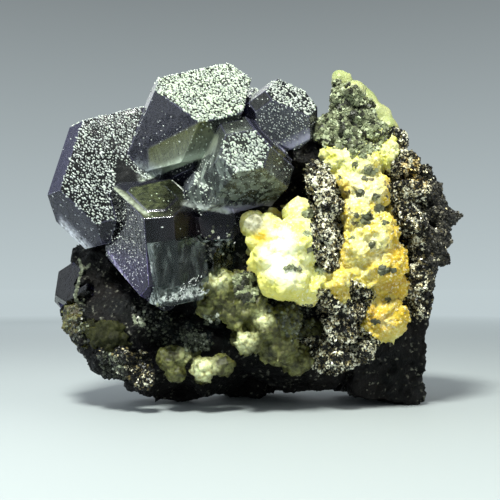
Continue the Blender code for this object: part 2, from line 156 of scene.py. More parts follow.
class Wire:
    """A socket of a material. Sums on wires add Math nodes, and new() adds any other node."""

    def __init__(self, owner, socket=None):
        self.owner = owner
        self.socket = socket

    def new(self, kind, sockets=None, output=0, **settings):
        tree = self.owner.node_tree
        node = tree.nodes.new("ShaderNode" + kind)
        for name, value in settings.items():
            setattr(node, name, value)
        for name, value in (sockets or {}).items():
            socket = node.inputs[name]
            if isinstance(value, Wire):
                tree.links.new(value.socket, socket)
            elif isinstance(value, (int, float)) or socket.type != "RGBA":
                socket.default_value = value
            else:
                socket.default_value = (*value, 1)
        return Wire(self.owner, node.outputs[output] if node.outputs else None)

    def maths(self, operation, first, second):
        return self.new("Math", {0: first, 1: second}, operation=operation)

    def __add__(self, other):
        return self.maths("ADD", self, other)

    def __sub__(self, other):
        return self.maths("SUBTRACT", self, other)

    def __rsub__(self, other):
        return self.maths("SUBTRACT", other, self)

    def __mul__(self, other):
        return self.maths("MULTIPLY", self, other)

    __radd__ = __add__
    __rmul__ = __mul__

    def stretched(self, low=0.0, high=1.0):
        """This value from low to high as 0 to 1, held there outside."""
        return self.new("MapRange", {0: self, 1: low, 2: high, 3: 0.0, 4: 1.0}, clamp=True)

    def band(self, start, low, high, end):
        """1 where this value is from low to high, down to 0 at start and at end."""
        return self.stretched(start, low) * (1 - self.stretched(high, end))

    def blend(self, first, second):
        """A colour from first, where this value is 0, to second, where it is 1."""
        return self.new("Mix", {0: self, 6: first, 7: second}, 2, data_type="RGBA")

    def tinted(self, colour, share=1.0):
        """This colour times another, by a share from 0 to 1."""
        return self.new("Mix", {0: share, 6: self, 7: colour}, 2, data_type="RGBA", blend_type="MULTIPLY")

    def ramp(self, stops):
        """The colour at this value between stops, each with its own value and colour."""
        found = self.new("ValToRGB", {0: self})
        elements = found.socket.node.color_ramp.elements
        while len(elements) < len(stops):
            elements.new(1)
        for element, (value, colour) in zip(elements, stops):
            element.position = value
            element.color = (*colour, 1)
        return found

    def bumped(self, strength, depth):
        """A normal that follows this value as a height of this depth in millimetres."""
        return self.new("Bump", {"Strength": strength, "Distance": depth * MILLIMETRE, "Height": self})


def new_finish(name):
    """The first wire of a new material: the place on its piece in millimetres."""
    material = bpy.data.materials.new(name)
    material.use_nodes = True
    material.node_tree.nodes.clear()
    metres = Wire(material).new("TexCoord", output=3)
    return metres.new("VectorMath", {0: metres, "Scale": 1 / MILLIMETRE}, operation="SCALE")


def mottle(place, size, detail=3.0, rough=0.55):
    """Soft noise from 0 to 1 with patches of about this size in millimetres."""
    return place.new("TexNoise", {"Vector": place, "Scale": 1 / size, "Detail": detail, "Roughness": rough})


def cells(place, size, output=0):
    """Cells of this size in millimetres: 0 gives the distance from their middles, 1 a colour each."""
    return place.new("TexVoronoi", {"Vector": place, "Scale": 1 / size}, output)


def cell_tones(place, size):
    """A value from 0 to 1 for each cell of this size in millimetres."""
    return place.new("SeparateColor", {0: cells(place, size, 1)})


def spread(place, middle, inner, outer):
    """1 within inner millimetres of a place on the piece, down to 0 at outer millimetres."""
    away = place.new("VectorMath", {0: place, 1: middle}, 1, operation="DISTANCE")
    return 1 - away.stretched(inner, outer)


def patched(place, patches):
    """Soft patches, each with its middle, inner and outer reach and strength, from 0 to 1 in all."""
    return sum(strength * spread(place, *patch) for *patch, strength in patches).stretched()


def surface_of(tint, roughness, normal, others=None):
    """A surface of this tint, roughness and normal, with any other sockets by their names."""
    sockets = {"Base Color": tint, "Roughness": roughness, "Normal": normal, **(others or {})}
    return normal.new("BsdfPrincipled", sockets)


def finished(surface, inside=None):
    """The material whose output gets this surface and, in a clear piece, what is inside."""
    surface.new("OutputMaterial", {0: surface} if inside is None else {0: surface, 1: inside})
    return surface.owner


def dress(piece, material, slot, *nodes):
    """Gives a piece its finish, and lets it stand for its solids on the specimen's one body."""
    piece.data.materials.clear()
    piece.data.materials.append(material)
    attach(piece, "root")
    if nodes:
        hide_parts(*nodes)


rock = skin("matrix_rock", ["sulphide_rock"], ROCK_VOXEL, 1)
raised(rock, rock_height)
place = new_finish("dark_sulphide")
veins = mottle(place, 1.6, 5.0, 0.65)
tone = mottle(place, 6.0, 4.0).stretched(0.42, 0.62)
tone = tone.blend((0.0022, 0.0028, 0.0028), (0.0060, 0.0050, 0.0045))
tone = veins.stretched(0.56, 0.75).blend(tone, (0.009, 0.009, 0.012))
tone = (patched(place, SLATE) * veins.stretched(0.45, 0.60)).blend(tone, (0.014, 0.020, 0.019))
tone = spread(place, (-20.0, -11.0, 3.5), 3.0, 8.0).blend(tone, (0.008, 0.005, 0.020))
flank = spread(place, (34.0, -2.0, 30.0), 7.0, 15.0) * mottle(place, 0.8, 4.0, 0.65).stretched(0.38, 0.62)
tone = flank.blend(tone, (0.030, 0.028, 0.020))
bright = cell_tones(place, 0.40).stretched(0.90, 0.98) * veins.stretched(0.45, 0.55)
tone = (bright * 0.6).blend(tone, (0.30, 0.30, 0.24))
relief = mottle(place, 0.5, 4.0, 0.7) + 0.6 * cells(place, 0.6)
others = {"Metallic": bright * 0.6, "Specular IOR Level": 0.16}
surface = surface_of(tone, 0.50 - bright * 0.2, relief.bumped(0.8, 0.5), others)
dress(rock, finished(surface), "rock", "sulphide_rock")

# --------------------------------------------------------------------------- main fluorite crystals
# Large cuboctahedral fluorite crystals grown through each other, violet-grey and clear inside, with
# an olive zone near the middle. Their octahedral faces are frosted with thousands of small rounded
# crystal corners in slanted rows, dense and pale on the upper faces and thin on the lower ones.
FLUORITE_GLASS = {"IOR": 1.434, "Transmission Weight": 1.0}
# The width of the bevels, and how hazy and how green they are.
EDGE_WIDTH = 0.08
EDGE_FACE = (0.50, 0.1)
# Edges flatter than FLAT are joined up, and edges sharper than SHARP get a bevel.
FLAT = math.radians(0.5)
SHARP = math.radians(12)
# A place on each face, how hazy it is, then the spacing, width and height of its corners, the share of
# the face that they cover, and the tone of haze and corners from violet-grey (0) to green (1).
FACES = (
    ((-26.3, -8.8, 40.8), 0.03, 0.44, 0.31, 0.20, 0.92, 0.35),
    ((-9.0, -13.8, 51.6), 0.16, 0.37, 0.37, 0.16, 0.97, 0.80),
    ((4.6, -11.3, 51.2), 0.04, 0.47, 0.34, 0.20, 0.72, 0.50),
    ((-3.1, -20.6, 40.9), 0.16, 0.39, 0.36, 0.16, 0.90, 0.60),
    ((-21.7, -13.6, 27.2), 0.01, 0.50, 0.17, 0.10, 0.34, 0.30),
    ((3.4, -12.9, 46.2), 0.55, 0.42, 0.22, 0.12, 0.50, 0.30),
    ((-1.8, -15.7, 35.4), 0.50, 0.75, 0.20, 0.08, 0.24, 0.60),
    ((-16.5, -12.6, 44.6), 0.10, 0.85, 0.18, 0.08, 0.18, 0.10),
    ((-17.6, -14.4, 34.6), 0.40, 0.80, 0.20, 0.08, 0.14, 1.00),
    ((-17.7, -14.0, 34.7), 0.40, 0.80, 0.20, 0.08, 0.14, 1.00),
    ((-31.6, -7.5, 31.2), 0.16, 0.90, 0.22, 0.10, 0.25, 0.05),
    ((-33.3, -6.9, 41.9), 0.30, 1.40, 0.20, 0.10, 0.12, 0.05),
    ((-25.8, -10.3, 29.4), 0.12, 0.80, 0.22, 0.10, 0.25, 0.10),
    ((-8.6, -16.1, 41.0), 0.22, 0.70, 0.22, 0.10, 0.30, 0.50),
    ((-9.3, -14.9, 44.0), 0.22, 0.62, 0.24, 0.10, 0.36, 0.60),
    ((-4.2, -17.5, 45.3), 0.16, 0.80, 0.22, 0.10, 0.25, 0.70),
    ((-7.2, -18.9, 37.3), 0.22, 0.75, 0.24, 0.12, 0.30, 0.60),
    ((-10.4, -16.0, 34.0), 0.26, 0.50, 0.22, 0.12, 0.46, 0.60),
    ((-10.0, -16.3, 36.8), 0.30, 0.45, 0.34, 0.16, 0.80, 0.60),
    ((2.3, -17.1, 38.9), 0.18, 0.66, 0.24, 0.12, 0.36, 0.45),
    ((-0.6, -15.2, 49.6), 0.10, 0.90, 0.20, 0.10, 0.22, 0.40),
    ((-7.1, -14.1, 30.1), 0.04, 1.20, 0.20, 0.10, 0.15, 0.20),
    ((-15.9, -18.2, 25.8), 0.02, 1.60, 0.20, 0.08, 0.08, 0.20),
    ((-11.8, -15.4, 26.3), 0.02, 1.60, 0.20, 0.08, 0.10, 0.20),
    ((-19.4, -8.6, 50.4), 0.12, 1.00, 0.18, 0.06, 0.20, 0.60),
    ((1.6, -14.8, 43.3), 0.06, 1.00, 0.18, 0.06, 0.15, 0.30),
    ((0.6, -16.3, 43.1), 0.06, 1.00, 0.18, 0.06, 0.15, 0.30),
    ((-0.8, -10.4, 52.1), 0.10, 0.90, 0.20, 0.08, 0.25, 0.40),
)
UPPER_FACE = (0.10, 0.47, 0.34, 0.18, 0.75, 0.45)
SIDE_FACE = (0.10, 0.78, 0.18, 0.09, 0.25, 0.20)
FACE_REACH = 2.6
FACE_DEPTH = 0.25
LARGE_FACE = 14
SMALL_FACE = 4
# The dark hollow below the top crystal, as an outline in the picture. No corners grow behind it.
HOLLOW = ((116, 158), (125, 164), (147, 180), (172, 168), (172, 188), (150, 190), (128, 190), (116, 186))
# The sides of the olive zone in the top crystal: a line of the picture each, and where the zone fades.
ZONE_SIDES = (
    ((148, 182), (145, 140), 0.0, 0.6),
    ((222, 149), (147, 178), -0.3, 0.0),
    ((205, 116), (229, 150), -0.3, 0.6),
)
# Painted light on thin edges: pale colour painted where light comes through them and glints along them. For
# each, the line of the picture that it follows, with the crystal on the right of it, how far in the painted
# light reaches, the middle of the edge, its half-length, colour, strength.
PAINTED_EDGE_LIGHT = (
    ((222, 149), (147, 178), 0.3, 1.5, (-14.4, -9.3, 40.2), 6.0, (0.46, 0.54, 0.42), 0.80),
    ((160, 176), (133, 163), 0.2, 1.8, (-18.6, -9.0, 40.2), 2.4, (0.26, 0.29, 0.30), 0.45),
    ((276, 207), (224, 212), 0.2, 1.2, (-1.6, -11.8, 33.0), 5.0, (0.46, 0.45, 0.62), 0.75),
    ((311, 136), (284, 150), 0.2, 1.8, (4.2, -11.5, 43.6), 3.6, (0.40, 0.40, 0.56), 0.75),
    ((221, 211), (190, 205), 0.1, 0.8, (-9.3, -14.5, 32.2), 3.4, (0.50, 0.54, 0.50), 0.60),
    ((94, 258), (58, 224), 0.5, 1.7, (-31.4, -7.0, 28.0), 5.2, (0.85, 0.86, 0.92), 0.90),
    ((139, 300), (104, 244), 0.0, 0.5, (-22.6, -12.6, 22.6), 6.5, (0.34, 0.30, 0.52), 0.60),
    ((150, 217), (113, 187), 0.0, 0.8, (-20.8, -13.6, 33.2), 5.0, (0.34, 0.38, 0.28), 0.55),
)


def sight(column, row):
    """The direction from the eye through a point of the picture."""
    u, v = (column - PICTURE / 2) / EYE_REACH, (PICTURE / 2 - row) / EYE_REACH
    c, s = math.cos(EYE_TILT), math.sin(EYE_TILT)
    return Vector((u, c - v * s, s + v * c)).normalized()


def shown_at(places):
    """The points of the picture at which places show."""
    away = places - np.array(EYE)
    c, s = math.cos(EYE_TILT), math.sin(EYE_TILT)
    depth = away[:, 1] * c + away[:, 2] * s
    up = away[:, 2] * c - away[:, 1] * s
    return np.c_[PICTURE / 2 + EYE_REACH * away[:, 0] / depth, PICTURE / 2 - EYE_REACH * up / depth]


def past(place, first, second):
    """Millimetres past the plane that shows as a line of the picture, to the right of first to second."""
    across = sight(*first).cross(sight(*second)).normalized()
    return place.new("VectorMath", {0: place, 1: across}, 1, operation="DOT_PRODUCT") - EYE.dot(across)


def row_for(middle, normal, area):
    """What is known of the skin of one crystal face."""
    for spot, *row in FACES:
        offset = np.array(spot) - middle
        if np.linalg.norm(offset) < FACE_REACH and abs(offset @ normal) < FACE_DEPTH:
            return row
    return UPPER_FACE if normal[2] > 0.2 and area > LARGE_FACE else SIDE_FACE


def flat_faces(node):
    """The welded solid of a crystal with each of its flat faces in one piece."""
    solid = welded(node)
    bmesh.ops.dissolve_limit(solid, angle_limit=FLAT, verts=solid.verts, edges=solid.edges)
    return solid


def face_facts(face):
    return np.array(face.calc_center_median_weighted()), np.array(face.normal), face.calc_area()


def crystal_piece(name, node, skin_of=None):
    """A crystal with narrow bevels, which keeps how hazy each face is and in what tone."""
    solid = flat_faces(node)
    haze, tone = (solid.faces.layers.float.new(what) for what in ("haze", "tone"))
    for face in solid.faces:
        facts = skin_of(*face_facts(face)) if skin_of else (0.0, 0.0)
        face[haze], face[tone] = facts[0], facts[-1]
    edges = [e for e in solid.edges if len(e.link_faces) == 2 and e.calc_length() > 0.8]
    sharp = [e for e in edges if e.calc_face_angle() > SHARP]
    made = bmesh.ops.bevel(
        solid, geom=sharp, offset=EDGE_WIDTH, segments=1, affect="EDGES", clamp_overlap=False)
    for face in made["faces"]:
        face[haze], face[tone] = EDGE_FACE
    bmesh.ops.triangulate(solid, faces=solid.faces)
    bmesh.ops.scale(solid, vec=(MILLIMETRE,) * 3, verts=solid.verts)
    mesh = bpy.data.meshes.new(name)
    solid.to_mesh(mesh)
    solid.free()
    return linked(name, mesh)


def stored(place, name):
    """A value that the mesh keeps under this name."""
    return place.new("Attribute", output=2, attribute_name=name)


def drawn_out(place, factors):
    """The place on the piece, counted faster or slower along each axis."""
    return place.new("VectorMath", {0: place, 1: factors}, operation="MULTIPLY")


def clear_inside(place, colour, density):
    return place.new("VolumeAbsorption", {"Color": colour, "Density": density})


cluster = crystal_piece("fluorite_crystals", "fluorite_cluster", row_for)
place = new_finish("violet_fluorite")
upright = drawn_out(place, (2.2, 2.2, 0.30))
streaks = mottle(upright, 1.0, 4.0)
tint = mottle(place, 5.0, 3.0).stretched(0.35, 0.65).blend((0.62, 0.62, 0.76), (0.50, 0.48, 0.72))
brown = spread(place, (-12.5, -16.0, 29.0), 2.5, 5.5)
tint = brown.blend(tint, (0.30, 0.20, 0.22))
relief = 0.6 * mottle(place, 2.2, 1.0) + 0.4 * mottle(upright, 1.0, 2.0)
roughness = 0.04 + 0.14 * mottle(place, 2.5, 2.0)
glass = surface_of(tint, roughness, relief.bumped(0.30, 0.3), FLUORITE_GLASS)

tone = stored(place, "tone")
pale = tone.stretched(0.0, 0.5).blend((0.075, 0.068, 0.165), (0.15, 0.17, 0.15))
pale = tone.stretched(0.7, 1.0).blend(pale, (0.085, 0.105, 0.035))
zone = past(place, (145, 149), (205, 118))
zoned = zone.stretched(-0.15, 0.35) * spread(place, (-13.0, -12.0, 43.0), 7.5, 9.0)
for first, second, low, high in ZONE_SIDES:
    zoned = zoned * past(place, first, second).stretched(low, high)
pale = zoned.blend(pale, zone.stretched(0.5, 5.0).blend((0.105, 0.115, 0.035), (0.25, 0.29, 0.23)))
share = stored(place, "haze") + 0.45 * zoned
violet = spread(place, (-21.5, -13.0, 23.5), 5.0, 8.0)
violet = past(place, (105, 234), (145, 243)).stretched(-0.5, 3.0) * violet
pale = violet.blend(pale, (0.14, 0.10, 0.30))
share = (share + 0.14 * violet) * (0.3 + 1.4 * streaks)
crumbly = mottle(place, 0.7, 5.0, 0.65)
olive = crumbly.stretched(0.40, 0.60).blend((0.022, 0.030, 0.013), (0.13, 0.155, 0.06))
pale = tone.stretched(0.9, 1.0).blend(pale, olive)
# Painted shade: the frosted share is cut on the face under the overhanging crystal, so that it looks dark
# as in shade.
outside_painted_shadow = past(place, (163, 172), (160, 215)).stretched(-1.2, 0.6)
painted_shadow = (1 - outside_painted_shadow) * spread(place, (-15.5, -14.5, 35.0), 4.0, 5.0)
share = share * (1 - 0.8 * painted_shadow)
brownish = crumbly.stretched(0.40, 0.62).blend((0.008, 0.007, 0.012), (0.050, 0.031, 0.037))
pale = brown.blend(pale, brownish)
share = share * (1 - 0.8 * brown) + 0.14 * brown
# The stepped front of the middle crystal, whose steps are not modelled: upright cells in its own grey to
# grey-green tones, which also stand in for painted light and shade on the steps, and pale upright streaks
# that are painted highlights.
step_tones_and_shade = cell_tones(upright, 1.7)
stepped = past(place, (300, 213), (180, 213)).stretched(0.0, 0.8)
stepped = spread(place, (-4.5, -15.5, 35.0), 6.6, 8.4) * stepped
lines = streaks.stretched(0.56, 0.68) * stepped
pale = (stepped * 0.85).blend(pale, step_tones_and_shade.blend((0.030, 0.034, 0.040), (0.21, 0.25, 0.21)))
pale = lines.blend(pale, (0.32, 0.37, 0.34))
share = stepped * (0.22 + 0.70 * step_tones_and_shade) + (1 - stepped) * share + 0.2 * lines
grain = mottle(place, 0.8, 4.0).stretched(0.30, 0.60)
# Painted light: each thin edge painted pale and more frosted, where light comes through it and glints along
# it.
for first, second, inner, outer, middle, reach, colour, strength in PAINTED_EDGE_LIGHT:
    edge_light = past(place, first, second).band(-0.5, -0.2, inner, outer)
    edge_light = edge_light * spread(place, middle, reach, reach + 1.0)
    pale = edge_light.blend(pale, colour)
    share = share + strength * edge_light * grain
frosted = surface_of(pale, 0.45, mottle(place, 0.45, 3.0).bumped(0.6, 0.2))
surface = place.new("MixShader", {0: share.stretched(), 1: glass, 2: frosted})
inside = clear_inside(place, (0.30, 0.30, 0.46), 780.0)
dress(cluster, finished(surface, inside), "violet_fluorite", "fluorite_cluster")


def face_axes(normal):
    """Two directions across a face, the first of them level."""
    level = np.cross((0.0, 0.0, 1.0), normal)
    if np.linalg.norm(level) < 0.05:
        level = np.array((1.0, 0.0, 0.0))
    level = level / np.linalg.norm(level)
    return level, np.cross(normal, level)


def within(points, outline):
    """Which flat points are inside a flat outline."""
    inside = np.zeros(len(points), bool)
    for (ax, ay), (bx, by) in zip(outline, np.roll(outline, -1, axis=0)):
        crosses = (ay > points[:, 1]) != (by > points[:, 1])
        with np.errstate(divide="ignore", invalid="ignore"):
            inside ^= crosses & (points[:, 0] < (bx - ax) * (points[:, 1] - ay) / (by - ay) + ax)
    return inside


def rows_on(outline, middle, normal, spacing, slant=0.45, wander=0.22):
    """Spots in slanted rows over a crystal face, each a little out of place."""
    level, up = face_axes(normal)
    flat = np.c_[(outline - middle) @ level, (outline - middle) @ up]
    reach = np.abs(flat).max() + spacing
    steps = np.arange(-reach, reach, spacing)
    across, along = np.meshgrid(steps, steps * 0.87)
    across = across + 0.5 * spacing * (np.arange(len(steps)) % 2)[:, None]
    turned_x = across * math.cos(slant) - along * math.sin(slant)
    turned_y = across * math.sin(slant) + along * math.cos(slant)
    spots = np.c_[turned_x.ravel(), turned_y.ravel()]
    spots = spots + rng.normal(0, wander * spacing, spots.shape)
    spots = spots[within(spots, flat)]
    return middle + spots[:, :1] * level + spots[:, 1:] * up


def frames_on(normals, spin):
    """Turning matrices whose third axis is each normal, spun about it by an angle each."""
    helper = np.where(np.abs(normals[:, 2:]) < 0.9, [[0.0, 0.0, 1.0]], [[1.0, 0.0, 0.0]])
    first = np.cross(helper, normals)
    first /= np.linalg.norm(first, axis=1, keepdims=True)
    second = np.cross(normals, first)
    c, s = np.cos(spin)[:, None], np.sin(spin)[:, None]
    return np.stack([first * c + second * s, second * c - first * s, normals], axis=2)


def crowd(name, shape, spots, turns, sizes, tones, smooth=False):
    """Many copies of one small shape as a single mesh, with a tone kept for each."""
    corners, faces = shape
    placed = np.einsum("nij,nkj->nki", turns, corners[None] * sizes[:, None, :]) + spots[:, None, :]
    firsts = np.arange(len(spots)) * len(corners)
    numbered = np.array(faces)[None] + firsts[:, None, None]
    numbered = numbered.reshape(-1, len(faces[0])).tolist()
    piece = new_piece(name, placed.reshape(-1, 3), numbered, smooth)
    tone = piece.data.attributes.new("tone", "FLOAT", "POINT")
    tone.data.foreach_set("value", np.repeat(tones, len(corners)).astype(np.float32))
    return piece


def dome():
    """A small rounded bump: two rings of six corners and a top."""
    angles = np.arange(6) * math.pi / 3
    ring = np.c_[np.cos(angles), np.sin(angles)] * 0.5
    low = np.c_[ring, np.full(6, -0.3)]
    high = np.c_[ring * 0.72, np.full(6, 0.62)]
    corners = np.vstack([low, high, [[0, 0, 1.0]]])
    faces = []
    for i in range(6):
        j = (i + 1) % 6
        faces += [(i, j, 6 + j), (i, 6 + j, 6 + i), (6 + i, 6 + j, 12)]
    return corners, faces


def patchiness(spots, size):
    """Soft noise about 0 at each spot, with patches of about this size in millimetres."""
    return np.array([noise.noise(Vector(spot) / size) for spot in spots])


def together(found):
    """Several lists of spots, and of what is known of each spot, as one list of each."""
    return [np.concatenate(parts) for parts in zip(*found)]


found = []
solid = flat_faces("fluorite_cluster")
for face in solid.faces:
    middle, normal, area = face_facts(face)
    hidden = normal[1] > 0.25 and normal[2] < 0.5
    if area < SMALL_FACE or hidden:
        continue
    _, spacing, width, height, cover, tone_here = row_for(middle, normal, area)
    here = rows_on(np.array([v.co[:] for v in face.verts]), middle, normal, spacing)
    here = here[rng.random(len(here)) < cover + 0.5 * patchiness(here, 2.4)]
    here = here[~within(shown_at(here), HOLLOW)]
    found.append((
        here,
        np.repeat(normal[None], len(here), axis=0),
        width * rng.uniform(0.55, 1.3, len(here)),
        height * rng.uniform(0.6, 1.2, len(here)),
        tone_here + rng.normal(0, 0.12, len(here)),
    ))
solid.free()
spots, normals, widths, heights, tones = together(found)
turns = frames_on(normals, rng.normal(-0.7, 0.35, len(spots)))
stretch = np.where(rng.random(len(spots)) < 0.5, rng.uniform(1.2, 2.2, len(spots)), 1.0)
sizes = np.c_[widths * stretch, widths * 0.9, heights]
frost = crowd("fluorite_frost", dome(), spots, turns, sizes, np.clip(tones, 0, 1), True)
# The corners' pale colour is partly the frost's own whiteness and partly a painted highlight, standing in
# for the glints that each tiny crystal corner throws back from the lamps.
place = new_finish("frost_and_painted_glints")
tint = stored(place, "tone").blend((0.62, 0.64, 0.66), (0.53, 0.62, 0.45))
tint = mottle(place, 0.9, 3.0).stretched(0.32, 0.54).blend((0.28, 0.31, 0.29), tint)
normal = mottle(place, 0.2).bumped(0.3, 0.1)
frost_and_painted_glints = finished(surface_of(tint, 0.30, normal, {"Specular IOR Level": 0.6}))
dress(frost, frost_and_painted_glints, "violet_fluorite")

# ---------------------------------------------------------------------------- clear lower crystals
# Two small blocky fluorite crystals below the cluster, clear grey glass with faint upright streaks.
# The front one has a broken lower edge with a white crust.
CLEAR_RIMS = (
    (((151, 301), (172, 299), (190, 295), (205, 291)), 3.6, 0.1),
    (((151, 262), (151, 280), (152, 296)), 1.4, 0.1),
    (((176, 296), (190, 286), (200, 276)), 5.0, 0.1),
)
def tree_of(pieces):
    """A search tree over the faces of some pieces, in millimetres."""
    vertices, faces = [], []
    for piece in pieces:
        first = len(vertices)
        vertices += places_of(piece.data).tolist()
        faces += [[first + i for i in face.vertices] for face in piece.data.polygons]
    return BVHTree.FromPolygons(vertices, faces)


def met(tree, picture_points):
    """Where lines from the eye through points of the picture meet a tree: places and directions."""
    places, directions = [], []
    for column, row in picture_points:
        place, normal, _, _ = tree.ray_cast(EYE, sight(column, row))
        if place is not None:
            places.append(place[:])
            directions.append(normal[:])
    return np.array(places).reshape(-1, 3), np.array(directions).reshape(-1, 3)


def toned(tree, picture_points, tone, unevenness):
    """Where lines through points of the picture meet a tree, with an uneven tone for each place."""
    spots, normals = met(tree, picture_points)
    return spots, normals, np.clip(rng.normal(tone, unevenness, len(spots)), 0, 1)


def beside(line, width, density):
    """Points of the picture spread along a line of points, within this width of it."""
    line = np.array(line, float)
    found = []
    for a, b in zip(line[:-1], line[1:]):
        count = int(np.linalg.norm(b - a) * density)
        along = rng.random((count, 1))
        found.append(a + (b - a) * along + rng.normal(0, width / 2.2, (count, 2)))
    return np.vstack(found)


clear = crystal_piece("fluorite_clear", "fluorite_clear_crystals")
place = new_finish("clear_fluorite")
streaks = mottle(drawn_out(place, (0.9, 0.9, 0.30)), 1.0, 5.0, 0.5)
tint = streaks.stretched(0.35, 0.65).blend((0.38, 0.45, 0.45), (0.62, 0.71, 0.69))
normal = (streaks + 0.3 * mottle(place, 1.6, 1.0)).bumped(0.5, 0.6)
glass = surface_of(tint, 0.05 + 0.15 * streaks, normal, FLUORITE_GLASS)
foot = past(place, (207, 292), (149, 304)).band(-0.5, -0.2, 0.3, 2.0)
foot = foot * mottle(place, 0.7, 4.0).stretched(0.42, 0.58)
# Painted light: a paler, cloudy band along the left edge, where light shows through.
left_edge_light = past(place, (149, 300), (147, 258)).band(-0.5, 0.0, 0.8, 1.9) * streaks.stretched(0.35, 0.60)
veils = streaks.stretched(0.50, 0.66) * mottle(place, 2.0, 4.0).stretched(0.35, 0.60)
cloudy = surface_of(foot.blend((0.19, 0.23, 0.22), (0.60, 0.66, 0.62)), 0.35, normal)
share = veils * 0.4 + foot * 0.8 + left_edge_light * 0.5
surface = place.new("MixShader", {0: share.stretched(), 1: glass, 2: cloudy})
inside = clear_inside(place, (0.44, 0.52, 0.51), 520.0)
dress(clear, finished(surface, inside), "clear_fluorite", "fluorite_clear_crystals")
clear_tree = tree_of([clear])
spots, normals, tones = together(
    toned(clear_tree, beside(line, width, 1.8), tone, 0.1) for line, width, tone in CLEAR_RIMS)
sizes = rng.uniform(0.08, 0.22, (len(spots), 1)) * (2.0, 0.8, 0.45)
turns = frames_on(normals, rng.normal(0.9, 0.4, len(spots)))
crust = crowd("clear_crust", dome(), spots, turns, sizes, tones, True)
dress(crust, frost_and_painted_glints, "clear_fluorite")

# ------------------------------------------------------------------------------ indigo side crystal
# One small fluorite crystal on the left edge of the rock, so deeply coloured that it is almost black.
indigo = crystal_piece("fluorite_indigo", "fluorite_side_crystal")
place = new_finish("indigo_fluorite")
tint = mottle(place, 2.0).stretched(0.4, 0.6).blend((0.10, 0.10, 0.17), (0.20, 0.21, 0.32))
relief = mottle(place, 0.8, 4.0)
surface = surface_of(tint, 0.05 + 0.15 * relief, relief.bumped(0.4, 0.3), FLUORITE_GLASS)
inside = clear_inside(place, (0.12, 0.11, 0.28), 1500.0)
dress(indigo, finished(surface, inside), "indigo_fluorite", "fluorite_side_crystal")

# ---------------------------------------------------------------------------------- yellow calcite
# Waxy calcite: a bright rounded lump in the middle, a broad ragged vein to the right of it that ends
# in an amber lump, and a pale cap on the top right edge.
CALCITE_VOXEL = 0.28
CALCITE_SWELL = 0.10
VEIN_OUTLINE = (
    (320, 148), (327, 161), (332, 174), (337, 182), (341, 195), (342, 202), (339, 217), (344, 225),
    (344, 237), (339, 254), (338, 269), (331, 275), (319, 270), (312, 275), (312, 289), (329, 289),
    (337, 301), (344, 304), (350, 298), (351, 286), (348, 280), (351, 273), (362, 283), (375, 292),
    (376, 297), (366, 310), (360, 326), (370, 333), (381, 339), (392, 338), (401, 326), (409, 316),
    (400, 307), (406, 298), (410, 283), (409, 266), (410, 249), (405, 239), (398, 230), (400, 217),
    (391, 203), (389, 190), (390, 172), (391, 162), (400, 154), (400, 144), (394, 136), (387, 131),
    (379, 137), (372, 140), (372, 154), (365, 160), (359, 157), (350, 149),
)
LUMP_OUTLINE = (
    (262, 222), (272, 212), (284, 205), (296, 203), (303, 206), (308, 222), (312, 240), (316, 258),
    (320, 270), (320, 280), (314, 292), (302, 302), (288, 303), (275, 296), (262, 290), (254, 278),
    (248, 262), (249, 250), (256, 244), (256, 232),
)
CAP_LINE = ((337, 77), (346, 84), (356, 90), (366, 97), (376, 107), (384, 117), (390, 126))
# A point of the picture for each round knob on the lump, and its radius.
KNOB_SPOTS = (
    (255, 222, 1.7), (252, 216, 1.0), (272, 250, 2.2), (262, 262, 2.2), (283, 283, 2.6), (300, 285, 2.2),
)
AMBER_LUMP = Vector((18.9, -13.2, 14.7))
# Soft patches of each colour: the middle of each, its inner and outer reach, and its strength.
LEMON = (
    ((3.5, -18.0, 26.0), 7.5, 9.5, 1.0), ((12.5, -11.5, 41.5), 3.0, 6.0, 1.0),
    ((20.5, -8.5, 43.0), 3.5, 5.5, 1.0),
)
AMBER = (
    ((20.5, -14.0, 22.0), 2.0, 5.0, 0.8), ((18.4, -13.5, 15.0), 2.0, 5.5, 1.0),
    ((-0.4, -17.6, 28.2), 0.6, 2.2, 1.0),
)
DEEP_AMBER = (((17.4, -13.6, 15.6), 0.8, 2.4, 0.75), ((20.0, -12.6, 20.5), 0.6, 2.0, 0.75))
CREAM = (
    ((16.0, -14.0, 36.0), 1.0, 4.0, 0.5), ((17.0, -14.0, 26.5), 0.5, 3.0, 0.5),
    ((19.5, -13.0, 14.5), 0.5, 2.0, 0.2),
)
packed_tree = tree_of(list(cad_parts.values()))

def inside_of(outline, count):
    """Points of the picture spread evenly within an outline."""
    outline = np.array(outline, float)
    low, high = outline.min(axis=0), outline.max(axis=0)
    points = low + rng.random((count * 4, 2)) * (high - low)
    return points[within(points, outline)][:count]


GOLD = (1 + math.sqrt(5)) / 2
BALL = (
    np.array([(-1, GOLD, 0), (1, GOLD, 0), (-1, -GOLD, 0), (1, -GOLD, 0), (0, -1, GOLD), (0, 1, GOLD),
              (0, -1, -GOLD), (0, 1, -GOLD), (GOLD, 0, -1), (GOLD, 0, 1), (-GOLD, 0, -1), (-GOLD, 0, 1)])
    / math.hypot(1, GOLD) / 2,
    [(0, 11, 5), (0, 5, 1), (0, 1, 7), (0, 7, 10), (0, 10, 11), (1, 5, 9), (5, 11, 4), (11, 10, 2),
     (10, 7, 6), (7, 1, 8), (3, 9, 4), (3, 4, 2), (3, 2, 6), (3, 6, 8), (3, 8, 9), (4, 9, 5),
     (2, 4, 11), (6, 2, 10), (8, 6, 7), (9, 8, 1)],
)


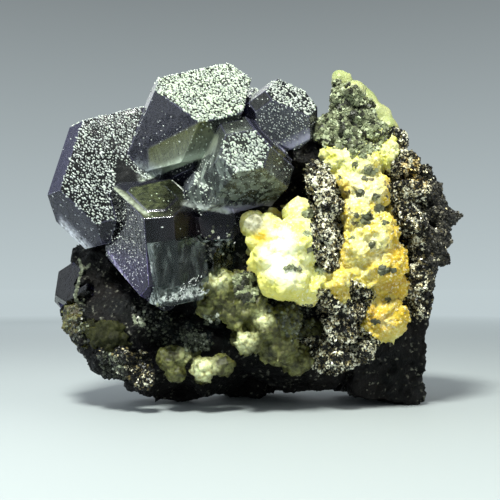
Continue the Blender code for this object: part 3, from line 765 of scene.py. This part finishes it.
def any_turns(count):
    """Turning matrices in every direction."""
    q = rng.normal(size=(count, 4))
    w, x, y, z = (q / np.linalg.norm(q, axis=1, keepdims=True)).T
    return np.stack([
        np.stack([1 - 2 * (y * y + z * z), 2 * (x * y - z * w), 2 * (x * z + y * w)], axis=1),
        np.stack([2 * (x * y + z * w), 1 - 2 * (x * x + z * z), 2 * (y * z - x * w)], axis=1),
        np.stack([2 * (x * z - y * w), 2 * (y * z + x * w), 1 - 2 * (x * x + y * y)], axis=1),
    ], axis=1)


def lumps_at(spots, normals, widths, sunk=0.30):
    """Uneven rounded lumps that sit in the surface at these spots."""
    corners, faces = BALL
    lumps = []
    centres = spots - normals * (widths * sunk)[:, None]
    for centre, width, turn in zip(centres, widths, any_turns(len(spots))):
        sizes = width * rng.uniform(0.75, 1.25, (len(corners), 1))
        lumps.append((corners * sizes @ turn.T + centre, faces))
    return lumps


def lumps_over(picture_points, smallest, largest, sunk=0.30):
    """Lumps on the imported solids, where lines through points of the picture meet them."""
    spots, normals = met(packed_tree, picture_points)
    return lumps_at(spots, normals, rng.uniform(smallest, largest, len(spots)), sunk)


def knobs_at(knobs):
    """Round knobs at points of the picture, each with its radius in millimetres."""
    lumps = []
    for column, row, radius in knobs:
        spots, normals = met(packed_tree, [(column, row)])
        lumps += lumps_at(spots, normals, np.array([2 * radius] * len(spots)), 0.20)
    return lumps


def botryoidal(size, depth):
    """Heights for a skin of rounded knobs of this size."""

    def height(place):
        bend = noise.noise_vector(place / (size * 1.7)) * 0.35
        away = noise.voronoi(place / size + bend)[0][0]
        return depth * (math.sqrt(max(0.0, 1.0 - away * away)) - 0.7)

    return height


def calcite_height(place):
    ragged = min(max((place.x - 6.5) / 3.0, 0.0), 1.0)
    smooth = botryoidal(3.0, 0.55)(place) + botryoidal(1.1, 0.22)(place)
    rough = 0.80 * facet(place, 1.9) + 0.55 * facet(place, 0.8)
    if (place - AMBER_LUMP).length < 5.0:
        rough += 1.3 * facet(place, 3.4)
    height = smooth * (1 - 0.7 * ragged) + rough * (0.38 + 0.62 * ragged)
    return CALCITE_SWELL + height + 0.10 * noise.noise(place / 0.4)


def waxy(place, tint, relief, roughness=0.34, shine=0.4):
    """The translucent, slightly greasy surface that all the calcite has."""
    return place.new("BsdfPrincipled", {
        "Base Color": tint,
        "Roughness": roughness + 0.2 * mottle(place, 1.0),
        "Subsurface Weight": 0.25,
        "Subsurface Radius": (1.0, 0.9, 0.45),
        "Subsurface Scale": 0.0008,
        "Specular IOR Level": shine,
        "Normal": relief.bumped(0.7, 0.4),
    }, subsurface_method="RANDOM_WALK")


lumps = lumps_over(inside_of(VEIN_OUTLINE, 1100), 0.6, 1.7)
lumps += lumps_over(inside_of(LUMP_OUTLINE, 260), 1.4, 2.8, 0.36)
lumps += knobs_at(KNOB_SPOTS)
vein = skin("calcite_vein_skin", ["calcite_vein"], CALCITE_VOXEL, 2, lumps)
raised(vein, calcite_height)
place = new_finish("yellow_calcite")
clouds = mottle(place, 2.2, 5.0, 0.62)
fine = mottle(place, 0.7, 4.0)
tint = clouds.stretched(0.38, 0.62).blend((0.66, 0.50, 0.035), (0.78, 0.73, 0.27))
tint = fine.stretched(0.52, 0.68).blend(tint, (0.84, 0.82, 0.44))
lemon = patched(place, LEMON)
tint = lemon.blend(tint, clouds.stretched(0.40, 0.58).blend((0.66, 0.64, 0.11), (0.84, 0.85, 0.40)))
strips = 0.7 * past(place, (340, 268), (343, 180)).band(-2.5, -2.0, 0.4, 1.8)
strips = strips + past(place, (391, 165), (408, 290)).band(-3.0, -2.5, 0.8, 2.6)
strips = strips * past(place, (300, 170), (420, 170)).stretched(0.0, 2.0)
amber = (0.9 * strips + patched(place, AMBER)).stretched()
tint = (amber * fine.stretched(0.34, 0.50)).blend(tint, (0.64, 0.42, 0.014))
deep = patched(place, DEEP_AMBER)
tint = (deep * clouds.stretched(0.40, 0.55)).blend(tint, (0.42, 0.23, 0.006))
# Painted shade: on the lump's right flank, which turns away from the key lamp, lemon shows in place of the
# cream.
painted_shade_flank = past(place, (300, 295), (291, 225)).stretched(-0.8, 0.8)
cream = spread(place, (3.9, -19.3, 24.8), 2.6, 5.4) * (1 - 0.9 * painted_shade_flank) + patched(place, CREAM)
tint = (cream.stretched() * clouds.stretched(0.3, 0.5)).blend(tint, (0.95, 0.96, 0.74))
rim = past(place, (248, 250), (272, 296)).stretched(-1.3, 0.3)
rim = rim + past(place, (272, 302), (320, 284)).stretched(-1.6, 0.2)
tint = (rim.stretched() * lemon * fine.stretched(0.3, 0.5)).blend(tint, (0.80, 0.74, 0.17))
crumbs = mottle(place, 0.40, 2.0).stretched(0.57, 0.66) * spread(place, (16.0, -14.0, 27.0), 14.0, 17.0)
tint = (0.7 * crumbs).blend(tint, (0.92, 0.92, 0.74))
knob = spread(place, (-1.8, -17.2, 30.6), 1.4, 2.4)
tint = knob.blend(tint, fine.stretched(0.35, 0.60).blend((0.24, 0.23, 0.13), (0.50, 0.49, 0.33)))
dirty = cell_tones(place, 0.75).stretched(0.80, 0.92) * mottle(place, 1.2, 3.0).stretched(0.46, 0.56)
tint = (dirty * spread(place, (16.0, -14.0, 33.0), 6.0, 12.0)).blend(tint, (0.13, 0.11, 0.06))
surface = waxy(place, tint, fine - 0.5 * cells(place, 0.7))
dress(vein, finished(surface), "yellow_calcite", "calcite_vein")

lumps = lumps_over(beside(CAP_LINE, 1.2, 1.2), 2.2, 3.4)
cap = skin("calcite_cap_skin", ["calcite_cap"], CALCITE_VOXEL, 16, lumps)
raised(cap, lambda place: 0.10 + 0.20 * noise.noise(place / 2.5) + 0.05 * noise.noise(place / 0.6))
place = new_finish("pale_calcite")
tint = mottle(place, 3.0, 4.0).stretched(0.4, 0.62).blend((0.29, 0.34, 0.13), (0.45, 0.47, 0.21))
tint = spread(place, (23.0, -3.0, 46.0), 1.5, 4.0).blend(tint, (0.48, 0.40, 0.10))
dress(cap, finished(waxy(place, tint, mottle(place, 0.8), 0.28)), "yellow_calcite", "calcite_cap")

# ----------------------------------------------------------------------------------- olive calcite
# The same calcite in smaller, greener knobs and patches, below the bright lump and at lower left.
KNOBS_OUTLINE = (
    (205, 282), (213, 274), (224, 268), (233, 275), (233, 296), (246, 303), (262, 292), (270, 305),
    (285, 311), (300, 320), (322, 318), (322, 330), (303, 338), (293, 345), (294, 352), (307, 362),
    (300, 370), (283, 367), (276, 358), (255, 356), (238, 351), (234, 338), (236, 325), (222, 315),
    (207, 300),
)
GREEN_KNOBS = (
    (221, 278, 2.0), (212, 286, 1.3), (226, 291, 1.2), (263, 321, 1.8), (247, 340, 2.1), (245, 315, 1.0),
    (238, 328, 1.0), (265, 308, 1.2), (275, 340, 1.3), (258, 336, 1.2),
)
LEFT_OUTLINE = ((91, 324), (105, 323), (118, 326), (127, 335), (124, 348), (113, 352), (101, 343))
EDGE_OUTLINE = ((64, 308), (82, 305), (80, 317), (88, 330), (76, 337), (60, 334), (60, 320))
SPUR_OUTLINE = (
    (162, 344), (176, 354), (186, 354), (196, 351), (204, 347), (203, 357), (191, 364), (181, 366),
    (184, 376), (176, 380), (170, 374), (160, 363),
)
NUB_OUTLINE = (
    (194, 364), (204, 358), (213, 362), (218, 369), (213, 377), (206, 384), (198, 383), (194, 374),
)
OLIVE_PIECES = (
    ("calcite_knobs_skin", "calcite_lower_knobs", KNOBS_OUTLINE, 330, (1.0, 2.2), GREEN_KNOBS),
    ("calcite_left_skin", "calcite_left_patch", LEFT_OUTLINE, 60, (1.2, 2.4), ()),
    ("calcite_edge_skin", "calcite_edge_patch", EDGE_OUTLINE, 70, (0.7, 1.5), ()),
    ("calcite_spur_skin", "calcite_spur", SPUR_OUTLINE, 70, (0.9, 1.8), ((178, 357, 1.0), (198, 353, 0.9))),
    ("calcite_nub_skin", "calcite_nub", NUB_OUTLINE, 50, (1.0, 2.0), ((200, 368, 1.4), (208, 372, 1.2))),
)
# Painted light: pale heads on the knobs' upper, lamp-facing tops, as patches like those of the yellow
# calcite.
PAINTED_LIGHT_HEADS = (
    ((-7.0, -16.5, 21.8), 0.6, 2.4, 1.0), ((-3.0, -16.5, 12.0), 0.8, 2.3, 1.0),
    ((-9.8, -15.0, 7.5), 1.6, 3.4, 1.0), ((-0.2, -16.5, 15.5), 0.5, 2.0, 1.0),
    ((-12.5, -14.0, 9.8), 0.4, 2.0, 0.4), ((6.5, -13.0, 14.0), 0.3, 1.6, 0.4),
)
place = new_finish("olive_calcite")
clouds = mottle(place, 1.8, 5.0, 0.6)
tint = clouds.stretched(0.38, 0.62).blend((0.042, 0.044, 0.011), (0.195, 0.205, 0.060))
# Painted light on the knobs' lamp-facing tops.
tint = (patched(place, PAINTED_LIGHT_HEADS) * clouds.stretched(0.25, 0.50)).blend(tint, (0.76, 0.80, 0.44))
bead_relief_and_shade = cells(place, 0.75)
# Painted shade: each bead darker towards its edge, in the gaps between them.
tint = bead_relief_and_shade.stretched(0.42, 0.85).blend(tint, tint.tinted((0.36, 0.33, 0.22)))
rusty = spread(place, (-31.5, -7.5, 13.5), 2.5, 5.0)
tint = (rusty * mottle(place, 1.0).stretched(0.35, 0.6)).blend(tint, (0.040, 0.027, 0.010))
olive_calcite = finished(waxy(place, tint, mottle(place, 0.6, 4.0) - 0.6 * bead_relief_and_shade, 0.28))
place = new_finish("dark_olive_calcite")
tint = mottle(place, 1.8, 5.0, 0.6).stretched(0.4, 0.6).blend((0.009, 0.010, 0.003), (0.030, 0.032, 0.011))
dark_calcite = finished(waxy(place, tint, mottle(place, 0.6, 4.0), 0.45, 0.1))
knob_height = botryoidal(2.2, 0.30)
bead_height = botryoidal(0.8, 0.16)


def olive_height(place):
    broken = 0.60 * facet(place, 1.5) + 0.40 * facet(place, 0.8)
    return 0.05 + knob_height(place) + bead_height(place) + broken + 0.08 * noise.noise(place / 0.4)


for name, node, outline, count, (smallest, largest), knobs in OLIVE_PIECES:
    lumps = lumps_over(inside_of(outline, count), smallest, largest, 0.36) + knobs_at(knobs)
    piece = skin(name, [node], CALCITE_VOXEL, 2, lumps)
    raised(piece, olive_height)
    dress(piece, dark_calcite if node == "calcite_left_patch" else olive_calcite, "olive_calcite", node)

# ------------------------------------------------------------------------------------ pyrite ridges
# Granular pyrite: ridges of thousands of tiny cubes, black in the gaps, with cream and gold faces that are
# partly pyrite's own brassy colour and partly painted glints. Each ridge is a rough core with the grains
# crowded over it and spilling past its edges.
INNER_OUTLINE = (
    (303, 172), (306, 163), (316, 160), (327, 163), (333, 175), (341, 190), (343, 203), (339, 213),
    (343, 226), (344, 240), (339, 255), (337, 268), (330, 273), (319, 270), (314, 255), (312, 240),
    (310, 226), (312, 215), (308, 200), (302, 188),
)
OUTER_OUTLINE = (
    (392, 130), (408, 134), (418, 146), (426, 165), (430, 190), (424, 220), (426, 250), (430, 285),
    (436, 300), (427, 318), (410, 316), (407, 300), (410, 283), (409, 250), (399, 230), (400, 217),
    (391, 203), (389, 190), (391, 163), (400, 155), (400, 144),
)
FLANK_OUTLINE = (
    (426, 165), (440, 180), (455, 200), (464, 216), (464, 232), (455, 262), (441, 284), (444, 300),
    (436, 300), (430, 285), (426, 250), (424, 220), (430, 190),
)
LOWER_OUTLINE = (
    (318, 288), (328, 290), (337, 301), (344, 304), (350, 298), (350, 280), (360, 282), (373, 292),
    (375, 298), (366, 310), (360, 327), (370, 333), (380, 342), (379, 349), (370, 357), (359, 364),
    (345, 371), (335, 376), (319, 373), (306, 366), (294, 351), (293, 342), (302, 338), (315, 336),
    (322, 332), (321, 322), (316, 313), (317, 298),
)
GOLDEN_OUTLINE = (
    (124, 353), (136, 349), (148, 352), (154, 366), (152, 384), (138, 388), (126, 378), (120, 364),
)
# For each ridge: how many grains over its core, how many within its outline, and how much more painted
# glint its grains get.
RIDGES = (
    ("pyrite_inner_ridge", 6000, 4600, INNER_OUTLINE, 0.25),
    ("pyrite_outer_ridge", 11000, 6600, OUTER_OUTLINE, 0.18),
    ("pyrite_lower_ridge", 7400, 5400, LOWER_OUTLINE, 0.20),
    ("pyrite_left_patch", 1600, 1500, GOLDEN_OUTLINE, -0.06),
)
GRAIN_WIDTH = (0.11, 0.36)


def spots_over(piece, count):
    """Spots spread evenly over a piece's faces, with the way each faces, in millimetres."""
    mesh = piece.data
    mesh.calc_loop_triangles()
    corners = np.empty(len(mesh.loop_triangles) * 3, np.int32)
    mesh.loop_triangles.foreach_get("vertices", corners)
    a, b, c = (places_of(mesh)[corners.reshape(-1, 3)[:, i]] for i in range(3))
    across = np.cross(b - a, c - a)
    areas = np.linalg.norm(across, axis=1) / 2
    picked = rng.choice(len(areas), count, p=areas / areas.sum())
    u, v = rng.random((2, count, 1))
    over = u + v > 1
    u, v = np.where(over, 1 - u, u), np.where(over, 1 - v, v)
    found = a[picked] + u * (b - a)[picked] + v * (c - a)[picked]
    return found, across[picked] / (2 * areas[picked, None] + 1e-12)


CUBE = (
    np.array([(x, y, z) for x in (-0.5, 0.5) for y in (-0.5, 0.5) for z in (-0.5, 0.5)]),
    [(0, 1, 3, 2), (4, 6, 7, 5), (0, 4, 5, 1), (2, 3, 7, 6), (0, 2, 6, 4), (1, 5, 7, 3)],
)


def grains_at(name, spots, normals, widths, tones, lift=0.1):
    """Small cubes turned every way, each sitting in the surface at its spot."""
    count = len(spots)
    spots = spots + normals * (widths * rng.uniform(-0.1, 2 * lift, count))[:, None]
    sizes = widths[:, None] * rng.uniform(0.7, 1.2, (count, 3))
    return crowd(name, CUBE, spots, any_turns(count), sizes, tones)


def grain_widths(count, smallest=GRAIN_WIDTH[0], largest=GRAIN_WIDTH[1]):
    return smallest + (largest - smallest) * rng.random(count) ** 1.8


def pyrite_height(place):
    return 0.05 + 0.55 * facet(place, 1.7) + 0.35 * facet(place, 0.8)


def open_air(tree, spots, normals):
    """Which spots have nothing close above them, so that grains on them could be seen."""
    lifted = spots + 0.6 * normals
    above = [tree.ray_cast(Vector(a), Vector(b), 3.0)[0] for a, b in zip(lifted, normals)]
    return np.array([hit is None for hit in above])


def grain_finish(name, stops, metal, roughness, gilt=None):
    """A finish whose colour follows the tone of each grain, more golden about one place."""
    place = new_finish(name)
    tint = stored(place, "tone").ramp(stops)
    if gilt:
        golden = spread(place, *gilt) * mottle(place, 0.8).stretched(0.40, 0.55)
        tint = tint.tinted((1.0, 0.74, 0.24), golden)
    relief = mottle(place, 0.25, 3.0)
    normal = relief.bumped(0.3, 0.1)
    return finished(surface_of(tint, roughness + 0.15 * relief, normal, {"Metallic": metal}))


# The pale cream stops are painted glints: grains coloured bright as if each caught the lamp.
pyrite_painted_glint_finish = grain_finish("pyrite_grains", (
    (0.00, (0.004, 0.004, 0.004)),
    (0.58, (0.012, 0.012, 0.010)),
    (0.72, (0.26, 0.21, 0.09)),
    (0.86, (0.80, 0.78, 0.58)),
    (1.00, (0.98, 0.96, 0.80)),
), 0.45, 0.26, ((25.5, -9.0, 39.0), 1.8, 4.2))
dull_finish = grain_finish("dull_grains", (
    (0.00, (0.006, 0.006, 0.005)),
    (0.45, (0.030, 0.029, 0.024)),
    (0.80, (0.080, 0.074, 0.055)),
    (1.00, (0.32, 0.29, 0.20)),
), 0.3, 0.40)
place = new_finish("pyrite_core")
relief = mottle(place, 0.4, 4.0, 0.7)
tint = relief.stretched(0.45, 0.75).blend((0.004, 0.004, 0.004), (0.016, 0.015, 0.012))
core_finish = finished(surface_of(tint, 0.5, relief.bumped(0.5, 0.3), {"Metallic": 0.3}))
cores = []
for node, *_ in RIDGES:
    core = skin(node + "_core", [node], 0.36, 1)
    raised(core, pyrite_height)
    dress(core, core_finish, "pyrite", node)
    cores.append(core)
skin_tree = tree_of([rock, vein, cap, *cores])
for core, (node, over_core, over_outline, outline, painted_glint_share) in zip(cores, RIDGES):
    spots, normals = spots_over(core, over_core)
    seen = open_air(skin_tree, spots, normals)
    more = met(skin_tree, inside_of(outline, over_outline))
    spots, normals = together([(spots[seen], normals[seen]), more])
    patchy = patchiness(spots, 1.6) + patchiness(spots, 0.7)
    # Tones high on the ramp are painted glints, in clumps, and fewer towards the right of x = 26 mm.
    tones = 0.40 + 0.80 * (rng.random(len(spots)) - 0.5) + 0.42 * patchy + painted_glint_share
    tones = np.clip(tones - 0.35 * np.clip((spots[:, 0] - 26.0) / 4.0, 0, 1), 0, 1)
    grains = grains_at(node + "_grains", spots, normals, grain_widths(len(spots)), tones)
    dress(grains, pyrite_painted_glint_finish, "pyrite")
spots, normals = met(skin_tree, inside_of(FLANK_OUTLINE, 4200))
tones = np.clip(0.9 * rng.random(len(spots)) + 0.3 * patchiness(spots, 1.4), 0, 1)
grains = grains_at("flank_grains", spots, normals, grain_widths(len(spots), 0.11, 0.40), tones, 0.0)
dress(grains, dull_finish, "pyrite")

# ---------------------------------------------------------------------------------- grey top patch
# A patch of dull grey-green granular pyrite on the top right shoulder, open-textured with black pits.
TOP_OUTLINE = (
    (331, 82), (338, 80), (345, 80), (356, 86), (363, 91), (367, 98), (377, 103), (374, 114), (382, 124),
    (378, 131), (386, 140), (379, 150), (369, 154), (365, 160), (356, 154), (345, 149), (324, 148),
    (314, 143), (314, 129), (317, 111), (326, 94), (332, 88),
)
patch = skin("pyrite_top_core", ["pyrite_top_patch"], 0.34, 1)
raised(patch, lambda place: 0.15 + 0.9 * facet(place, 2.0) + 0.4 * facet(place, 0.9))
place = new_finish("grey_pyrite_core")
pits = mottle(place, 1.3, 4.0, 0.6)
tint = pits.stretched(0.40, 0.52).blend((0.010, 0.010, 0.008), (0.20, 0.23, 0.12))
normal = (pits + 0.5 * mottle(place, 0.3)).bumped(0.6, 0.4)
surface = surface_of(tint, 0.6, normal, {"Metallic": 0.1})
dress(patch, finished(surface), "grey_pyrite", "pyrite_top_patch")
grey_finish = grain_finish("grey_pyrite_grains", (
    (0.00, (0.012, 0.012, 0.009)),
    (0.30, (0.12, 0.13, 0.07)),
    (0.70, (0.30, 0.34, 0.19)),
    (1.00, (0.62, 0.68, 0.46)),
), 0.05, 0.45)
over_patch = spots_over(patch, 2600)
more = met(tree_of([rock, vein, cap, patch]), inside_of(TOP_OUTLINE, 2400))
spots, normals = together([over_patch, more])
dark = patchiness(spots, 1.5) < -0.16
kept = ~dark | (rng.random(len(spots)) < 0.35)
spots, normals, dark = spots[kept], normals[kept], dark[kept]
tones = np.where(dark, 0.05, np.clip(rng.normal(0.50, 0.24, len(spots)), 0, 1))
grains = grains_at("pyrite_top_grains", spots, normals, grain_widths(len(spots), 0.22, 0.62), tones)
dress(grains, grey_finish, "grey_pyrite")

# -------------------------------------------------------------------- grains caught in the calcite
# Small clots of dark grey and green-grey grains that sit in the calcite, and a crust of fine pale
# crystals over the dark rock around the lower knobs. All of them grew on the surface they sit on.
CLOT_DENSITY = 0.6
# The point of the picture in the middle of each clot, its radius there, and the tone of its grains.
CLOTS = (
    (369, 171, 3.5, 0.5), (360, 193, 3.2, 0.2), (380, 209, 4.0, 0.25), (367, 218, 4.5, 0.2),
    (308, 214, 4.0, 0.4), (306, 234, 2.5, 0.5), (291, 267, 2.6, 0.5), (299, 269, 1.4, 0.5),
    (384, 270, 4.5, 0.2), (319, 270, 2.5, 0.5), (365, 178, 2.0, 0.3), (376, 196, 2.4, 0.3),
    (385, 222, 2.2, 0.3), (352, 238, 1.6, 0.4), (372, 245, 1.8, 0.3), (340, 178, 1.6, 0.4),
    (355, 165, 2.0, 0.4), (388, 300, 1.5, 0.3), (376, 322, 2.2, 0.1), (310, 250, 1.6, 0.4),
)
GREEN_CRUST = ((233, 277), (245, 272), (254, 273), (260, 290), (256, 300), (246, 302), (236, 296))
# The outline of each patch of the crust in the picture, how many crystals it has, and their tone.
DRUSE_OUTLINES = (
    (((180, 331), (206, 334), (210, 350), (186, 352)), 420, 0.34),
    (((134, 318), (146, 318), (146, 326), (134, 326)), 60, 0.62),
    (((204, 314), (220, 314), (220, 326), (204, 326)), 60, 0.62),
    (((130, 296), (150, 300), (200, 325), (215, 345), (160, 346), (135, 330)), 320, 0.16),
    (((64, 308), (84, 304), (88, 322), (90, 345), (84, 350), (62, 336)), 160, 0.16),
    (((96, 352), (126, 352), (126, 380), (104, 378)), 260, 0.16),
    (((203, 228), (240, 222), (244, 262), (204, 285)), 70, 0.22),
    (((262, 300), (312, 304), (316, 330), (290, 345)), 260, 0.30),
)
PALE_VEIN = (
    (((79, 258), (82, 270), (78, 284), (75, 298)), 0.9, 0.46),
    (((82, 269), (88, 267), (90, 264)), 0.8, 0.46),
    (((75, 298), (80, 304), (84, 300)), 1.2, 0.42),
)
shown = [piece for piece in bpy.context.scene.objects if piece.type == "MESH" and not piece.hide_render]
skin_tree = tree_of([piece for piece in shown if not piece.name.endswith("_grains")])
found = []
for column, row, radius, tone_here in CLOTS:
    count = int(CLOT_DENSITY * math.pi * radius ** 2)
    scattered = rng.normal(0, radius * 0.55, (count, 2)) * (1.3, 0.8)
    found.append(((column, row) + scattered, np.full(count, tone_here)))
points, tones = together(found)
spots, normals = met(skin_tree, points)
tones = np.clip(tones[:len(spots)] * rng.uniform(0.3, 1.6, len(spots)), 0, 1)
clots = grains_at("caught_grains", spots, normals, rng.uniform(0.25, 0.70, len(spots)), tones, 0.0)
dress(clots, grey_finish, "grey_pyrite")
spots, normals = met(skin_tree, inside_of(GREEN_CRUST, 420))
tones = np.where(patchiness(spots, 1.3) > 0.02, 0.62, 0.06)
tones = np.clip(tones * rng.uniform(0.6, 1.2, len(spots)), 0, 1)
crust = grains_at("green_crust_grains", spots, normals, rng.uniform(0.25, 0.6, len(spots)), tones)
dress(crust, grey_finish, "grey_pyrite")
druse_finish = grain_finish("pale_druse", (
    (0.00, (0.020, 0.022, 0.018)),
    (0.35, (0.085, 0.095, 0.06)),
    (0.70, (0.26, 0.29, 0.20)),
    (1.00, (0.70, 0.72, 0.60)),
), 0.0, 0.30)
found = [toned(skin_tree, inside_of(outline, count), tone, 0.22) for outline, count, tone in DRUSE_OUTLINES]
found += [toned(skin_tree, beside(line, width, 5.0), tone, 0.08) for line, width, tone in PALE_VEIN]
spots, normals, tones = together(found)
druse = grains_at("pale_druse", spots, normals, grain_widths(len(spots), 0.13, 0.48), tones, 0.0)
dress(druse, druse_finish, "olive_calcite")

# ----------------------------------------------------------------------------------- floor and light
# A plain pale floor that fades into an even grey surround, one bright soft lamp above the front, and
# weaker lamps to the left, right and back.
HORIZON = (0.52, 0.60, 0.62)
ZENITH = (0.23, 0.26, 0.27)
FLOOR = 2500
# The place of each lamp, its width, power and colour. All of them point at LAMP_AIM.
LAMPS = (
    ("key", (-40.0, -150.0, 230.0), 60.0, 1.15, (0.97, 1.0, 0.93)),
    ("left", (-220.0, -40.0, 60.0), 290.0, 0.33, (0.85, 0.92, 1.0)),
    ("right", (220.0, -40.0, 140.0), 300.0, 0.25, (1.0, 0.97, 0.92)),
    ("back", (-60.0, 230.0, 160.0), 320.0, 0.16, (0.95, 0.97, 1.0)),
)
LAMP_AIM = Vector((0, 0, 28))

corners = [(-FLOOR, -FLOOR, 0), (FLOOR, -FLOOR, 0), (FLOOR, FLOOR, 0), (-FLOOR, FLOOR, 0)]
floor = new_piece("floor", corners, [(0, 1, 2, 3)])
place = new_finish("pale_floor")
near = place.new("BsdfPrincipled", {"Base Color": (0.40, 0.44, 0.45), "Roughness": 0.7})
far = place.new("Emission", {"Color": HORIZON, "Strength": 1.0})
away = place.new("VectorMath", {0: place}, 1, operation="LENGTH")
surface = place.new("MixShader", {0: away.stretched(70.0, 420.0), 1: near, 2: far})
floor.data.materials.append(finished(surface))

for name, spot, width, power, colour in LAMPS:
    lamp = bpy.data.objects.new(name, bpy.data.lights.new(name, "AREA"))
    lamp.data.shape = "DISK"
    lamp.data.size = width * MILLIMETRE
    lamp.data.energy = power
    lamp.data.color = colour
    lamp.location = Vector(spot) * MILLIMETRE
    lamp.rotation_euler = (Vector(spot) - LAMP_AIM).to_track_quat("Z", "Y").to_euler()
    bpy.context.scene.collection.objects.link(lamp)

world = bpy.data.worlds.new("surround")
world.use_nodes = True
world.node_tree.nodes.clear()
sky = Wire(world)
upward = sky.new("SeparateXYZ", {0: sky.new("TexCoord", output=0)}, 2)
shade = upward.stretched(-0.02, 0.32).blend(HORIZON, ZENITH)
sky.new("OutputWorld", {0: sky.new("Background", {0: shade, 1: 1.0})})
bpy.context.scene.world = world
bpy.context.scene.view_settings.view_transform = "Standard"
